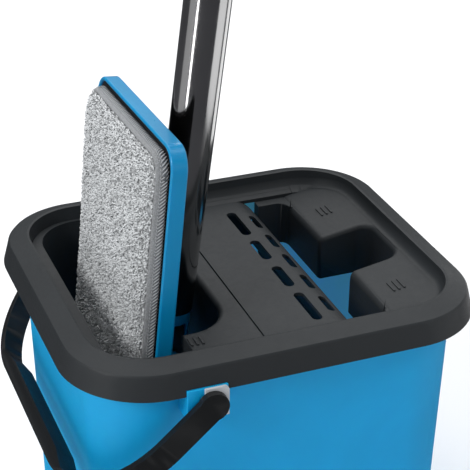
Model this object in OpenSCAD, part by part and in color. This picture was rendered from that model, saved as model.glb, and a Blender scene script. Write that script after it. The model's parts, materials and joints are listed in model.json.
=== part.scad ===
// Flat mop standing in the wash slot of its two-compartment squeeze bucket.
// Origin: middle of the bucket's underside. X runs across the bucket from the wash side (-X)
// to the dry side (+X), Y from front to back and Z up. Millimetres.

/* [Bucket rim] */
// Width of the rim across its outer crease
rim_w = 250; // [245:1:320]
// Depth of the rim across its outer crease
rim_d = 217.5; // [205:0.5:280]
// Height of the rim's outer crease above the floor
rim_h = 215; // [200:1:270]
// Plan radius of the rim's corners at the crease
rim_corner_r = 49; // [42:1:56]
// Width of the sloping top face, from the crease in to the ridge
rim_face = 13; // [11:0.5:15]
// Rise of the top face from the crease to the ridge
rim_rise = 3.75; // [2:0.25:6]
// Drop of the skirt below the crease
skirt_h = 14.5; // [12:0.5:18]
// Outward flare of the skirt at its lower edge
skirt_flare = 3.75; // [2:0.25:5]
// Wall thickness of the insert mouldings
insert_wall = 2.4; // [2:0.1:3]

/* [Bucket shell] */
// Inset of the shell's top edge from the rim crease
shell_inset = 9; // [8:0.5:10]
// Narrowing of the shell on each side, from the crease down to the floor
shell_taper = 5.2; // [2:0.2:12]
// Wall thickness of the shell
shell_wall = 2.2; // [1.8:0.1:3]
// Thickness of the shell's floor
floor_t = 3.5; // [2.5:0.5:5]

/* [Insert] */
// Depth of the deck below the crease
deck_drop = 9; // [8:0.5:12]
// Depth of the slot walls below the crease
slot_wall_drop = 41; // [30:1:55]
// Depth of the wash opening's walls below the crease
wash_wall_drop = 75; // [50:1:100]
// Distance from the rim crease to the wash opening's outer wall
slot_margin = 22; // [20:0.5:26]
// Width of the strip of deck between the pole recess and the seam
wash_strip = 13; // [9:0.5:18]
// Width of the squeeze slot on the dry side
dry_slot_w = 20; // [18:0.5:26]
// Distance from the ridge to the inner face of the dry blocks
dry_block_depth = 42; // [38:0.5:50]
// Width of the drain slots
drain_slot_w = 6.5; // [5:0.5:8]
// Radius of the wringer panel's squeezing shoulder
shoulder_r = 16; // [12:0.5:18]

/* [Carry handle] */
// Distance from the rim crease on the wash side to the handle's pivot axis
handle_pivot_in = 69; // [60:1:90]
// Drop of the pivot axis below the crease
handle_pivot_drop = 21.3; // [20:0.5:40]
// Reach from the pivot axis to the outer face of the cross bar
handle_reach = 99.8; // [96:0.2:120]
// Width of the handle's band
handle_band_w = 16; // [14:0.5:20]
// Thickness of the handle's band
handle_band_t = 4; // [3:0.5:6]
// Extra thickness of the grip inside the cross bar
handle_grip_t = 4.5; // [2:0.5:7]
// Length of the grip
handle_grip_l = 150; // [110:1:160]
// Angle of the hanging handle below the horizontal
handle_hang = 41.5; // [35:0.5:50]
// Outer radius of the handle's corners
handle_corner_r = 66; // [55:1:70]
// Radius of the handle's pivot pins
handle_pin_r = 4; // [3:0.25:5]
// Thickness of the washers between the brackets and the handle
washer_t = 1.5; // [1:0.25:3]

/* [Mop plate] */
// Length of the mop plate
plate_l = 314; // [280:1:340]
// Width of the mop plate
plate_w = 138.4; // [120:0.2:150]
// Height of the plate's perimeter wall
plate_t = 10; // [8:0.5:14]
// Thickness of the plate's wall and web
plate_wall = 2.6; // [2:0.1:4]
// Plan radius of the plate's corners
plate_corner_r = 14; // [8:0.5:20]
// Gap between the perimeter wall and the pad
pad_gap = 3.8; // [2:0.2:6]
// Distance that the pad stands out in front of the plate
pad_proud = 11; // [8:0.5:14]
// Lean of the plate across the slot, top towards the dry side
plate_lean = 6.14; // [5:0.02:7]
// Lean of the plate in its own plane, top towards the back
plate_cant = 1.96; // [0:0.02:3]

/* [Swivel] */
// Distance from the plate's back to the swivel axes
swivel_stand = 23.3; // [21:0.1:28]
// Distance between the two swivel axes
swivel_pitch = 20; // [18:0.5:26]
// Radius of the swivel pins
swivel_pin_r = 3; // [2.5:0.25:3.5]
// Radius of the cross block's rounded ends
swivel_end_r = 8; // [7:0.25:8.5]
// Tilt of the pole against the plate, towards the plate
pole_tilt = 0.78; // [0:0.02:1.5]
// Swing of the pole against the plate, towards the front
pole_swing = 6.48; // [0:0.02:12]

/* [Pole] */
// Outer radius of the lower tube
pole_r = 13.6; // [12:0.1:15]
// Wall thickness of both tubes
tube_wall = 1; // [0.8:0.1:1.4]
// Length of the lower tube
lower_tube_l = 560; // [420:5:700]
// Outer radius of the upper tube
upper_r = 11.4; // [10:0.1:12]
// Length of the upper tube
upper_tube_l = 640; // [500:5:760]
// Travel of the telescoping upper tube
pole_travel = 420; // [200:5:440]
// Length of the hand grip
grip_l = 120; // [90:1:160]
// Thickness of the grip's rubber
grip_t = 3.2; // [2:0.1:5]
// Radius of the hanging hole
hang_hole_r = 5; // [4:0.25:7]

/* [Clearances] */
// Radial running clearance of the pins
run_gap = 0.05; // [0.02:0.01:0.1]
// Gap between neighbouring pieces that don't carry each other
part_gap = 0.3; // [0.2:0.05:0.5]
// Gap between the mop's lowest edge and the bucket's floor
stand_gap = 1.5; // [0.5:0.5:6]
// Gap between the pole and the edge of its recess
recess_gap = 0.8; // [0.5:0.1:3]
// Distance from the rim crease to the pad's face, level with the swivel
pad_margin = 38.9; // [36:0.1:46]

/* [Hidden] */
$fn = 96;
eps = 0.01;

// Levels above the floor
ridge_z = rim_h + rim_rise;
deck_z = rim_h - deck_drop;
ledge_z = rim_h - 5.4;
slot_bottom_z = rim_h - slot_wall_drop;
wash_bottom_z = rim_h - wash_wall_drop;
skirt_z = rim_h - skirt_h;

// Insets from the crease of the rim's inner wall, its ledge and the deck
inner_wall_in = rim_face + 1.4;
deck_in = inner_wall_in + 7.6;

// Mop plate in its own frame: X away from its back, Y across it, Z up its length, origin midway
// between the swivel axes
plate_back_x = -swivel_stand;
plate_front_x = plate_back_x - plate_t;
pad_front_x = plate_front_x - pad_proud;
mat_t = 6;
lower_axis_z = -swivel_pitch / 2;
upper_axis_z = swivel_pitch / 2;

// Place of the mop in the bucket
mop_x = -rim_w / 2 + pad_margin - pad_front_x * cos(plate_lean);
mop_y = 3.7;
mop_z = floor_t + stand_gap + plate_l / 2 * cos(plate_lean) * cos(plate_cant)
    + plate_w / 2 * sin(plate_cant) + plate_back_x * sin(plate_lean);

// Where the pole crosses the deck, which sets the recess that it leans in
pole_lean = plate_lean - pole_tilt;
pole_deck_x = mop_x + (deck_z - mop_z) * tan(pole_lean);
slot_left_x = -rim_w / 2 + slot_margin;
slot_right_x = mop_x - 11.95;
recess_right_x = pole_deck_x + pole_r / cos(pole_lean) + recess_gap;
recess_half = 58;
slot_half = rim_d / 2 - inner_wall_in - part_gap - insert_wall;
seam_x = recess_right_x + wash_strip;

// Dry side
dry_face_x = rim_w / 2 - rim_face - dry_block_depth;
panel_right_x = dry_face_x - dry_slot_w;
panel_half = rim_d / 2 - deck_in - part_gap;
dry_recess_half = 22;
dry_recess_end_x = rim_w / 2 - inner_wall_in - 6;
dry_slot_half = 79;
ledge_end_x = dry_face_x + 8;

// Handle
handle_x = -rim_w / 2 + handle_pivot_in;
handle_z = rim_h - handle_pivot_drop;
boss_face_y = rim_d / 2 + skirt_flare + 0.3;
band_in_y = boss_face_y + washer_t + part_gap;
// Sides of the handle's bracket from its pivot axis, with the washer on its inner part
boss_left = -14;
boss_right = 10.2;
boss_top = 10.2;
boss_low = -10;
washer_left = -4;

// Pole pieces along the pole, from the middle of the swivel
neck_z = upper_axis_z + 10;
tube_z = neck_z + 8;
tube_top_z = tube_z + lower_tube_l;
sleeve_l = 34;
nut_z = tube_top_z + 8 + part_gap;
nut_l = 46;
grip_z = nut_z + nut_l + 4;
upper_top_z = grip_z + grip_l - 6;
upper_z = upper_top_z - upper_tube_l;
cap_z = grip_z + grip_l;

// Rounded rectangle centred on the origin
module rounded_rect(w, d, r) {
    union() {
        square([w - 2 * r, d], center = true);
        square([w, d - 2 * r], center = true);
        for (sx = [-1, 1], sy = [-1, 1])
            translate([sx * (w / 2 - r), sy * (d / 2 - r)]) circle(r);
    }
}

// Plan of the bucket at a given inset from the crease
module plan(inset) {
    rounded_rect(rim_w - 2 * inset, rim_d - 2 * inset, rim_corner_r - inset);
}

// Sweeps a wall section round the bucket. The section's X is the distance outward from the
// corner's centre and its Y is the height.
module wall_sweep() {
    straight_x = rim_w - 2 * rim_corner_r;
    straight_y = rim_d - 2 * rim_corner_r;
    for (side = [0, 1]) rotate([0, 0, 180 * side]) {
        translate([straight_x / 2, straight_y / 2, 0])
            rotate_extrude(angle = 90) children();
        translate([straight_x / 2, -straight_y / 2, 0])
            rotate([0, 0, -90]) rotate_extrude(angle = 90) children();
        translate([straight_x / 2, straight_y / 2, 0])
            rotate([90, 0, 0]) linear_extrude(straight_y) children();
        translate([-straight_x / 2, straight_y / 2, 0])
            rotate([90, 0, 90]) linear_extrude(straight_x) children();
    }
}

// Slot with round ends, standing along Y
module stadium(l, w, h) {
    translate([-w / 2, -l / 2 + w / 2, 0]) cube([w, l - w, h]);
    for (s = [-1, 1]) translate([0, s * (l / 2 - w / 2), 0]) cylinder(h = h, d = w);
}

// Cylinder along Y between two places
module rod_y(r, from, to) {
    translate([0, from, 0]) rotate([-90, 0, 0]) cylinder(h = to - from, r = r);
}

// Cylinder along X between two places
module rod_x(r, from, to) {
    translate([from, 0, 0]) rotate([0, 90, 0]) cylinder(h = to - from, r = r);
}

// Frames of the mop's moving pieces
module plate_frame() {
    translate([mop_x, mop_y, mop_z]) rotate([-plate_cant, plate_lean, 0]) children();
}

module cross_frame() {
    plate_frame() translate([0, 0, lower_axis_z]) rotate([0, -pole_tilt, 0])
        translate([0, 0, -lower_axis_z]) children();
}

module pole_frame() {
    cross_frame() translate([0, 0, upper_axis_z]) rotate([pole_swing, 0, 0])
        translate([0, 0, -upper_axis_z]) children();
}

// Places of the two handle pivots, each with its outward direction along +Y
module at_pivots() {
    for (s = [0, 1]) translate([handle_x, 0, handle_z]) mirror([0, s, 0]) children();
}

// Section of the shell's tapering wall
module shell_section() {
    top = rim_corner_r - shell_inset;
    low = top - shell_taper;
    lip_t = 2;
    polygon([[low, 0], [top, rim_h - 3], [top + lip_t, rim_h - 3], [top + lip_t, rim_h - 1],
        [top - shell_wall, rim_h - 1], [low - shell_wall, 0]]);
}

module bucket_shell() {
    base_in = shell_inset + shell_taper;
    boss_y = rim_d / 2 - shell_inset - shell_wall;
    color("deepskyblue") difference() {
        union() {
            wall_sweep() shell_section();
            linear_extrude(floor_t) plan(base_in + shell_wall / 2);
            // Bracket behind each end of the handle
            at_pivots() translate([boss_left, boss_y, boss_low])
                cube([boss_right - boss_left, boss_face_y - boss_y, boss_top - boss_low]);
        }
        at_pivots() rod_y(handle_pin_r + run_gap, boss_y - 10, boss_face_y + 1);
    }
}

// Section of the rim: skirt, sloping face, inner wall and ledge
module rim_section() {
    t = insert_wall;
    out = rim_corner_r + skirt_flare;
    ridge = rim_corner_r - rim_face;
    inner = rim_corner_r - inner_wall_in;
    polygon([[out, skirt_z], [rim_corner_r + 0.4, rim_h - 1.6], [rim_corner_r - 0.8, rim_h - 0.2],
        [ridge + 1.2, ridge_z], [ridge - 0.2, ridge_z - 0.4], [inner, ledge_z], [inner, ledge_z - t],
        [inner + t, ledge_z - t], [ridge + t - 1.2, ridge_z - t - 1],
        [rim_corner_r - t, rim_h - t + 1], [out - t, skirt_z]]);
}

// Ledge that steps down from the inner wall to the deck, beside the deck and the panel
module ledge_section() {
    t = insert_wall;
    inner = rim_corner_r - inner_wall_in;
    deck = rim_corner_r - deck_in;
    polygon([[inner, ledge_z], [inner, ledge_z - t], [deck, deck_z - t], [deck, deck_z]]);
}

module rim_frame() {
    color("dimgray") union() {
        difference() {
            wall_sweep() rim_section();
            // Notches that let the brackets up behind the skirt's edge
            at_pivots() translate([boss_left - part_gap, rim_d / 2 - 5, boss_low])
                cube([boss_right - boss_left + 2 * part_gap, 20, boss_top - boss_low + part_gap]);
        }
        intersection() {
            wall_sweep() ledge_section();
            translate([slot_right_x, -rim_d / 2, 0])
                cube([ledge_end_x - slot_right_x, rim_d, rim_h]);
        }
    }
}

// Plan of the plate's slot, grown by a wall
module slot_plan(grow) {
    slot_r = 28;
    translate([(slot_left_x + slot_right_x) / 2, 0]) intersection() {
        translate([rim_w / 2, 0]) rounded_rect(slot_right_x - slot_left_x + rim_w + 2 * grow,
            2 * (slot_half + grow), slot_r + grow);
        square([slot_right_x - slot_left_x + 2 * grow, 2 * (slot_half + grow)], center = true);
    }
}

// Plan of the recess that the pole leans in
module recess_plan() {
    recess_r = 24;
    recess_d = recess_right_x - slot_right_x;
    union() {
        translate([slot_right_x - 1, -recess_half])
            square([recess_d + 1 - recess_r, 2 * recess_half]);
        translate([slot_right_x - 1, -recess_half + recess_r])
            square([recess_d + 1, 2 * (recess_half - recess_r)]);
        for (s = [-1, 1]) translate([recess_right_x - recess_r, s * (recess_half - recess_r)])
            circle(recess_r);
    }
}

// Deck between the wash opening and the seam, with the walls that hang round the opening
module wash_deck() {
    t = insert_wall;
    opening_h = wash_wall_drop + 10;
    color("dimgray") union() {
        difference() {
            union() {
                translate([0, 0, deck_z - t]) linear_extrude(t) intersection() {
                    plan(deck_in + part_gap);
                    translate([slot_right_x, -rim_d]) square([seam_x - slot_right_x, 2 * rim_d]);
                }
                translate([0, 0, wash_bottom_z]) linear_extrude(deck_z - wash_bottom_z - eps)
                    intersection() {
                        union() {
                            slot_plan(t);
                            translate([slot_right_x, -recess_half - t])
                                square([recess_right_x - slot_right_x + t,
                                    2 * (recess_half + t)]);
                        }
                        plan(inner_wall_in + part_gap);
                        translate([-rim_w, -panel_half]) square([2 * rim_w, 2 * panel_half]);
                    }
                // Rounded outer part of the walls, up to a lip beside the rim's inner wall
                translate([0, 0, wash_bottom_z]) linear_extrude(ledge_z - wash_bottom_z)
                    intersection() {
                        slot_plan(t);
                        plan(inner_wall_in + part_gap);
                        translate([-rim_w, -rim_d])
                            square([rim_w + slot_right_x - part_gap, 2 * rim_d]);
                    }
                translate([0, 0, ledge_z - t]) linear_extrude(t) intersection() {
                    plan(inner_wall_in + part_gap);
                    translate([-rim_w, -rim_d])
                        square([rim_w + slot_right_x - part_gap, 2 * rim_d]);
                }
            }
            translate([0, 0, wash_bottom_z - 1]) linear_extrude(opening_h) union() {
                slot_plan(0);
                recess_plan();
            }
        }
        // Three raised bars that mark the wash side
        for (i = [-1:1]) translate([slot_right_x + 5 + 3.4 * i, -recess_half - 11, deck_z - eps])
            stadium(9, 1.4, 0.8);
    }
}

// Section of the wringer panel: flat top, squeezing shoulder and hanging wall
module panel_section(inset) {
    r = shoulder_r - inset;
    top_z = deck_z + 0.4 - inset;
    centre_x = panel_right_x - shoulder_r;
    polygon(concat([[seam_x + part_gap + inset, slot_bottom_z - inset],
        [seam_x + part_gap + inset, top_z]],
        [for (a = [90:-7.5:0]) [centre_x + r * cos(a), deck_z + 0.4 - shoulder_r + r * sin(a)]],
        [[panel_right_x - inset, slot_bottom_z - inset]]));
}

module wringer_panel() {
    corner_r = 9;
    row_x = panel_right_x - 23.2;
    shoulder_x = panel_right_x - 11;
    pitch = 28;
    panel_w = panel_right_x - seam_x - part_gap;
    color("dimgray") difference() {
        intersection() {
            translate([0, panel_half, 0]) rotate([90, 0, 0]) linear_extrude(2 * panel_half)
                panel_section(0);
            translate([seam_x + part_gap + panel_w / 2 - corner_r, 0, 0]) linear_extrude(rim_h)
                rounded_rect(panel_w + 2 * corner_r, 2 * panel_half, corner_r);
        }
        translate([0, panel_half - insert_wall, 0]) rotate([90, 0, 0])
            linear_extrude(2 * (panel_half - insert_wall)) panel_section(insert_wall);
        for (s = [-1, 1]) {
            translate([row_x, s * 56, slot_bottom_z]) stadium(33, drain_slot_w, slot_wall_drop);
            translate([row_x, s * 18, slot_bottom_z]) stadium(26, drain_slot_w, slot_wall_drop);
        }
        for (i = [-2:2]) translate([shoulder_x, i * pitch, deck_z - 20])
            stadium(18, drain_slot_w - 1.7, 30);
    }
}

// Plan of the recess between the dry blocks
module dry_recess_plan() {
    end_r = 9;
    translate([dry_face_x - 20, 0])
        rounded_rect(2 * (dry_recess_end_x - dry_face_x + 20), 2 * dry_recess_half, end_r);
}

// Side view of the dry blocks: their tops slope down to a rounded squeezing edge
module dry_profile(inset) {
    r = 5 - inset;
    wall_x = rim_w / 2;
    edge_z = rim_h - 10.4;
    rise = 8.6;
    polygon(concat([[dry_face_x + inset, slot_bottom_z - inset]],
        [for (a = [180:-15:90]) [dry_face_x + 5 + r * cos(a), edge_z - 5 + r * sin(a)]],
        [[wall_x, edge_z - inset + rise], [wall_x, slot_bottom_z - inset]]));
}

// Plan of the dry blocks, inside the rim and clear of the ledge
module block_plan(inset) {
    difference() {
        plan(inner_wall_in + part_gap + inset);
        difference() {
            translate([-rim_w, -rim_d]) square([rim_w + ledge_end_x + part_gap + inset, 2 * rim_d]);
            plan(deck_in + part_gap + inset);
        }
    }
}

// Section of the dry blocks' border, flush with the ledge of the rim where that ends
module border_section() {
    inner = rim_corner_r - inner_wall_in - part_gap;
    deck = rim_corner_r - deck_in;
    low_z = deck_z - insert_wall;
    polygon([[inner, ledge_z], [inner, low_z], [deck, low_z], [deck, deck_z]]);
}

// Plan of the walls that close the dry slot's two ends
module slot_end_plan() {
    r = 8;
    for (s = [0, 1]) mirror([0, s]) difference() {
        translate([panel_right_x + part_gap, dry_slot_half - r])
            square([dry_slot_w + 6, panel_half - dry_slot_half + r]);
        translate([dry_face_x - r, dry_slot_half - r]) circle(r);
        translate([panel_right_x - 1, dry_slot_half - r - 1])
            square([dry_slot_w + 1 - r, r + 1]);
        translate([panel_right_x - 1, dry_slot_half - r - 1]) square([dry_slot_w + 1, 1]);
    }
}

module dry_blocks() {
    t = insert_wall;
    color("dimgray") difference() {
        union() {
            intersection() {
                translate([0, 0, slot_bottom_z]) linear_extrude(slot_wall_drop) block_plan(0);
                translate([0, rim_d / 2, 0]) rotate([90, 0, 0]) linear_extrude(rim_d)
                    dry_profile(0);
            }
            intersection() {
                wall_sweep() border_section();
                translate([0, 0, slot_bottom_z]) linear_extrude(rim_h - slot_bottom_z)
                    block_plan(0);
            }
            translate([0, 0, slot_bottom_z])
                linear_extrude(deck_z - 2.2 - slot_bottom_z) slot_end_plan();
            // Three raised bars on each block, which mark the dry side
            intersection() {
                translate([0, rim_d / 2, 0]) rotate([90, 0, 0]) linear_extrude(rim_d)
                    dry_profile(-0.7);
                for (s = [-1, 1], i = [-1:1])
                    translate([dry_face_x + 17 + 3.4 * i, s * 53, deck_z - 8]) stadium(11, 1.4, 20);
            }
        }
        // Hollow underside of each block
        for (s = [0, 1]) mirror([0, s, 0]) intersection() {
            translate([0, 0, slot_bottom_z - 1]) linear_extrude(slot_wall_drop) block_plan(t);
            translate([0, rim_d / 2, 0]) rotate([90, 0, 0])
                linear_extrude(rim_d / 2 - dry_recess_half - t) dry_profile(t);
        }
        translate([0, 0, slot_bottom_z - 1]) linear_extrude(slot_wall_drop + 10) dry_recess_plan();
    }
}

// Soft lip clipped under the wringer panel's hanging wall
module squeeze_lip() {
    lip_h = 12;
    l = 2 * (panel_half - 14);
    color("darkgray") translate([panel_right_x, l / 2, slot_bottom_z - part_gap]) rotate([90, 0, 0])
        linear_extrude(l) polygon([[-2.6, 0], [0, 0], [2.2, -lip_h], [0.8, -lip_h]]);
}

// Light washers that carry the handle's ends
module handle_washers() {
    corner_r = 3;
    w = boss_right - washer_left;
    color("lightgray") at_pivots() difference() {
        translate([washer_left, boss_face_y + washer_t, boss_low + 1]) rotate([90, 0, 0])
            linear_extrude(washer_t - eps) union() {
                square([w, boss_top - boss_low - 1 - corner_r]);
                square([w - corner_r, boss_top - boss_low - 1]);
                translate([w - corner_r, boss_top - boss_low - 1 - corner_r]) circle(corner_r);
            }
        rod_y(handle_pin_r + run_gap, boss_face_y - 1, boss_face_y + washer_t + 1);
    }
}

module handle_pins() {
    head_t = 2;
    shell_in_y = rim_d / 2 - shell_inset - shell_wall;
    color("dimgray") at_pivots() {
        rod_y(handle_pin_r, shell_in_y - 1.5 - head_t, band_in_y + handle_band_t - 1);
        rod_y(handle_pin_r + 2, shell_in_y - 1.5 - head_t, shell_in_y - 1.5);
    }
}

// Plan of the bail: two arms joined by a cross bar
module bail_plan(inset) {
    r = handle_corner_r - inset;
    half = band_in_y + handle_band_t - inset;
    reach = handle_reach - inset;
    intersection() {
        translate([-reach, -half]) square([reach, 2 * half]);
        union() {
            translate([-reach, -half + r]) square([reach, 2 * (half - r)]);
            translate([-reach + r, -half]) square([reach - r, 2 * half]);
            for (s = [-1, 1]) translate([-reach + r, s * (half - r)]) circle(r);
        }
    }
}

module carry_handle() {
    grip_x = -handle_reach + handle_band_t - eps;
    half = handle_grip_l / 2;
    ramp = 26;
    color("dimgray") translate([handle_x, 0, handle_z]) difference() {
        union() {
            rotate([0, -handle_hang, 0]) translate([0, 0, -handle_band_w / 2])
                linear_extrude(handle_band_w) union() {
                    difference() {
                        bail_plan(0);
                        translate([eps, 0]) bail_plan(handle_band_t);
                    }
                    intersection() {
                        bail_plan(1);
                        polygon([[grip_x - 1, -half], [grip_x, -half],
                            [grip_x + handle_grip_t, -half + ramp],
                            [grip_x + handle_grip_t, half - ramp], [grip_x, half],
                            [grip_x - 1, half]]);
                    }
                }
            for (s = [0, 1]) mirror([0, s, 0])
                rod_y(handle_band_w / 2 + 0.8, band_in_y, band_in_y + handle_band_t);
        }
        for (s = [0, 1]) mirror([0, s, 0])
            rod_y(handle_pin_r + run_gap, band_in_y - 1, band_in_y + handle_band_t - 0.8);
    }
}

// Slab that stands in the plate's frame, from one X to another
module plate_slab(x_from, x_to, inset) {
    translate([x_from, 0, 0]) rotate([90, 0, 90]) linear_extrude(x_to - x_from)
        rounded_rect(plate_w - 2 * inset, plate_l - 2 * inset, max(plate_corner_r - inset, 3));
}

module mop_plate() {
    color("deepskyblue") plate_frame() difference() {
        plate_slab(plate_front_x, plate_back_x, 0);
        plate_slab(plate_front_x - 1, plate_back_x - plate_wall, plate_wall);
    }
}

module hook_mat() {
    x = plate_back_x - plate_wall;
    color("black") plate_frame() plate_slab(x - mat_t, x, plate_wall + part_gap);
}

module microfibre_pad() {
    x = plate_back_x - plate_wall - mat_t;
    color("lightgray") plate_frame()
        plate_slab(pad_front_x, x - part_gap / 3, plate_wall + pad_gap);
}

module swivel_base() {
    flange_t = 4;
    ear_in = swivel_end_r + 0.4;
    ear_t = 4;
    color("deepskyblue") plate_frame() difference() {
        union() {
            translate([plate_back_x, -26, lower_axis_z - 26]) cube([flange_t, 52, 50]);
            for (s = [0, 1]) mirror([0, s, 0]) translate([0, ear_in, lower_axis_z]) {
                translate([plate_back_x + flange_t - eps, 0, -swivel_end_r])
                    cube([-plate_back_x - flange_t, ear_t, 2 * swivel_end_r]);
                rod_y(swivel_end_r, 0, ear_t);
            }
        }
        translate([0, 0, lower_axis_z]) rod_y(swivel_pin_r + run_gap, -20, 20);
    }
}

module base_screws() {
    color("silver") plate_frame() for (sy = [-1, 1], sz = [-1, 1])
        translate([0, sy * 20, lower_axis_z - 1 + sz * 20])
            rod_x(3.2, plate_back_x + 4, plate_back_x + 6.2);
}

// Pin with a head at each end, along Y
module headed_pin(half) {
    head_t = 1.6;
    rod_y(swivel_pin_r, -half - head_t, half + head_t);
    for (s = [0, 1]) mirror([0, s, 0]) rod_y(swivel_pin_r + 1.8, half + 0.1, half + head_t);
}

module base_pin() {
    color("silver") plate_frame() translate([0, 0, lower_axis_z]) headed_pin(swivel_end_r + 4.4);
}

module cross_block() {
    w = swivel_end_r;
    color("dimgray") cross_frame() difference() {
        union() {
            translate([0, 0, lower_axis_z]) rod_y(w, -w, w);
            translate([0, 0, upper_axis_z]) rod_x(w, -w, w);
            translate([-w, -w, lower_axis_z]) cube([2 * w, 2 * w, swivel_pitch]);
        }
        translate([0, 0, lower_axis_z]) rod_y(swivel_pin_r + run_gap, -20, 20);
        translate([0, 0, upper_axis_z]) rod_x(swivel_pin_r + run_gap, -20, 20);
    }
}

module socket_pin() {
    half = swivel_end_r + 4.4;
    color("silver") pole_frame() translate([0, 0, upper_axis_z])
        rod_x(swivel_pin_r, -half, half);
}

module pole_socket() {
    ear_in = swivel_end_r + 0.4;
    neck_r = pole_r - 0.7;
    color("deepskyblue") pole_frame() difference() {
        union() {
            intersection() {
                translate([0, 0, upper_axis_z - 9]) cylinder(h = tube_z - upper_axis_z + 9, r = neck_r);
                union() {
                    translate([-20, -9, upper_axis_z]) cube([40, 18, tube_z]);
                    translate([0, 0, upper_axis_z]) rod_x(9, -20, 20);
                    translate([0, 0, neck_z]) cylinder(h = tube_z - neck_z, r = neck_r);
                }
            }
            translate([0, 0, tube_z - eps])
                cylinder(h = 60, r = pole_r - tube_wall - run_gap);
        }
        translate([-ear_in, -20, upper_axis_z - 20]) cube([2 * ear_in, 40, 20 + neck_z - upper_axis_z]);
        translate([0, 0, upper_axis_z]) rod_x(swivel_pin_r + run_gap, -20, 20);
    }
}

// Round tube along the pole
module tube(z, l, r_out, r_in) {
    translate([0, 0, z]) difference() {
        cylinder(h = l, r = r_out);
        translate([0, 0, -1]) cylinder(h = l + 2, r = r_in);
    }
}

module lower_tube() {
    color("silver") pole_frame() tube(tube_z, lower_tube_l, pole_r, pole_r - tube_wall);
}

module lock_sleeve() {
    color("dimgray") pole_frame() union() {
        tube(tube_top_z - sleeve_l + 8, sleeve_l - 8, pole_r + 2.4, pole_r + run_gap);
        tube(tube_top_z, 8, pole_r + 2.4, upper_r + part_gap);
    }
}

module lock_nut() {
    grip_r = pole_r + 3.6;
    rib_r = 1.4;
    color("deepskyblue") pole_frame() difference() {
        translate([0, 0, nut_z]) union() {
            cylinder(h = nut_l - 14, r = grip_r);
            translate([0, 0, nut_l - 14]) cylinder(h = 14, r1 = grip_r, r2 = upper_r + 2.6);
        }
        tube(nut_z - 1, nut_l + 2, upper_r + part_gap, 0.5);
        translate([0, 0, nut_z - 1]) cylinder(h = nut_l + 2, r = upper_r + part_gap);
        translate([0, 0, nut_z - 1]) cylinder(h = 17, r = pole_r + 0.6);
        for (a = [0:30:330]) rotate([0, 0, a]) translate([grip_r + 0.5, 0, nut_z - 1])
            cylinder(h = nut_l - 18, r = rib_r);
    }
}

// Split ring that the nut clamps on the upper tube
module lock_collet() {
    color("white") pole_frame() difference() {
        tube(nut_z + 1, 14, pole_r + 0.3, upper_r + part_gap / 2);
        translate([0, -1, nut_z - 1]) cube([20, 2, 30]);
    }
}

module upper_tube() {
    color("silver") pole_frame() tube(upper_z, upper_tube_l, upper_r, upper_r - tube_wall);
}

// Ring that guides the upper tube's lower end
module guide_bush() {
    color("dimgray") pole_frame() union() {
        tube(upper_z - 4, 4, pole_r - tube_wall - part_gap / 2, 5);
        translate([0, 0, upper_z - eps]) tube(0, 24, upper_r - tube_wall - run_gap, 5);
    }
}

module hand_grip() {
    r = upper_r + grip_t;
    groove_r = 1.2;
    color("dimgray") pole_frame() difference() {
        translate([0, 0, grip_z]) cylinder(h = grip_l - part_gap, r = r);
        translate([0, 0, grip_z - 1]) cylinder(h = grip_l + 2, r = upper_r + run_gap);
        for (z = [14:13:grip_l - 14]) translate([0, 0, grip_z + z]) rotate_extrude()
            translate([r + 0.4, 0]) circle(groove_r);
    }
}

module hanging_cap() {
    r = upper_r + grip_t;
    tab_t = 7;
    tab_r = 12;
    tab_z = cap_z + 20;
    color("deepskyblue") pole_frame() difference() {
        union() {
            translate([0, 0, upper_top_z - 20]) cylinder(h = cap_z - upper_top_z + 20,
                r = upper_r - tube_wall - run_gap);
            translate([0, 0, cap_z]) cylinder(h = 5, r = r);
            translate([0, 0, cap_z + 5 - eps]) cylinder(h = 4, r1 = r, r2 = r - 4);
            translate([-tab_t / 2, -tab_r, cap_z + 4]) cube([tab_t, 2 * tab_r, tab_z - cap_z - 4]);
            translate([0, 0, tab_z]) rod_x(tab_r, -tab_t / 2, tab_t / 2);
        }
        translate([0, 0, tab_z]) rod_x(hang_hole_r, -tab_r, tab_r);
    }
}

bucket_shell();
rim_frame();
wash_deck();
wringer_panel();
dry_blocks();
squeeze_lip();
handle_washers();
handle_pins();
carry_handle();
mop_plate();
hook_mat();
microfibre_pad();
swivel_base();
base_screws();
base_pin();
cross_block();
socket_pin();
pole_socket();
lower_tube();
lock_sleeve();
lock_nut();
lock_collet();
upper_tube();
guide_bush();
hand_grip();
hanging_cap();
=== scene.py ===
"""Looks of a flat mop standing in the wash slot of its squeeze bucket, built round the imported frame."""

import json
import logging
import math
import random
from dataclasses import dataclass, field
from enum import Enum
from functools import cache
from typing import Callable

import bmesh
import bpy
import numpy as np
from mathutils import Matrix, Vector


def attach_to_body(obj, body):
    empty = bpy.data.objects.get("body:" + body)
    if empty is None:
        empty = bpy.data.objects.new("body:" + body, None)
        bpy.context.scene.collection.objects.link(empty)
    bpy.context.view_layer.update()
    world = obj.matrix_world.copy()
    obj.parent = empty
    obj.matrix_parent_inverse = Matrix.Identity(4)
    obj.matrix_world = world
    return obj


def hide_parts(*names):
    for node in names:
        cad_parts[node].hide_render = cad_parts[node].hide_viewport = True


Socket = bpy.types.NodeSocket
Piece = bpy.types.Object
Triple = tuple[float, float, float]

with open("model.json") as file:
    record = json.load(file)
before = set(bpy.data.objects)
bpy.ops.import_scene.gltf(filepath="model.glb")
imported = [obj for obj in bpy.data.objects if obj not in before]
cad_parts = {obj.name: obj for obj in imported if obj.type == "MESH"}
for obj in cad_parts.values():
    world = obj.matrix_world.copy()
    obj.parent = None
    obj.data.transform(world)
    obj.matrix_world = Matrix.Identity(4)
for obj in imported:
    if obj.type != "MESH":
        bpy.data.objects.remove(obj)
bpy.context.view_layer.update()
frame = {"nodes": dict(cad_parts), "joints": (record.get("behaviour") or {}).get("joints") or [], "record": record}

log = logging.getLogger("flat_mop")


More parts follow.
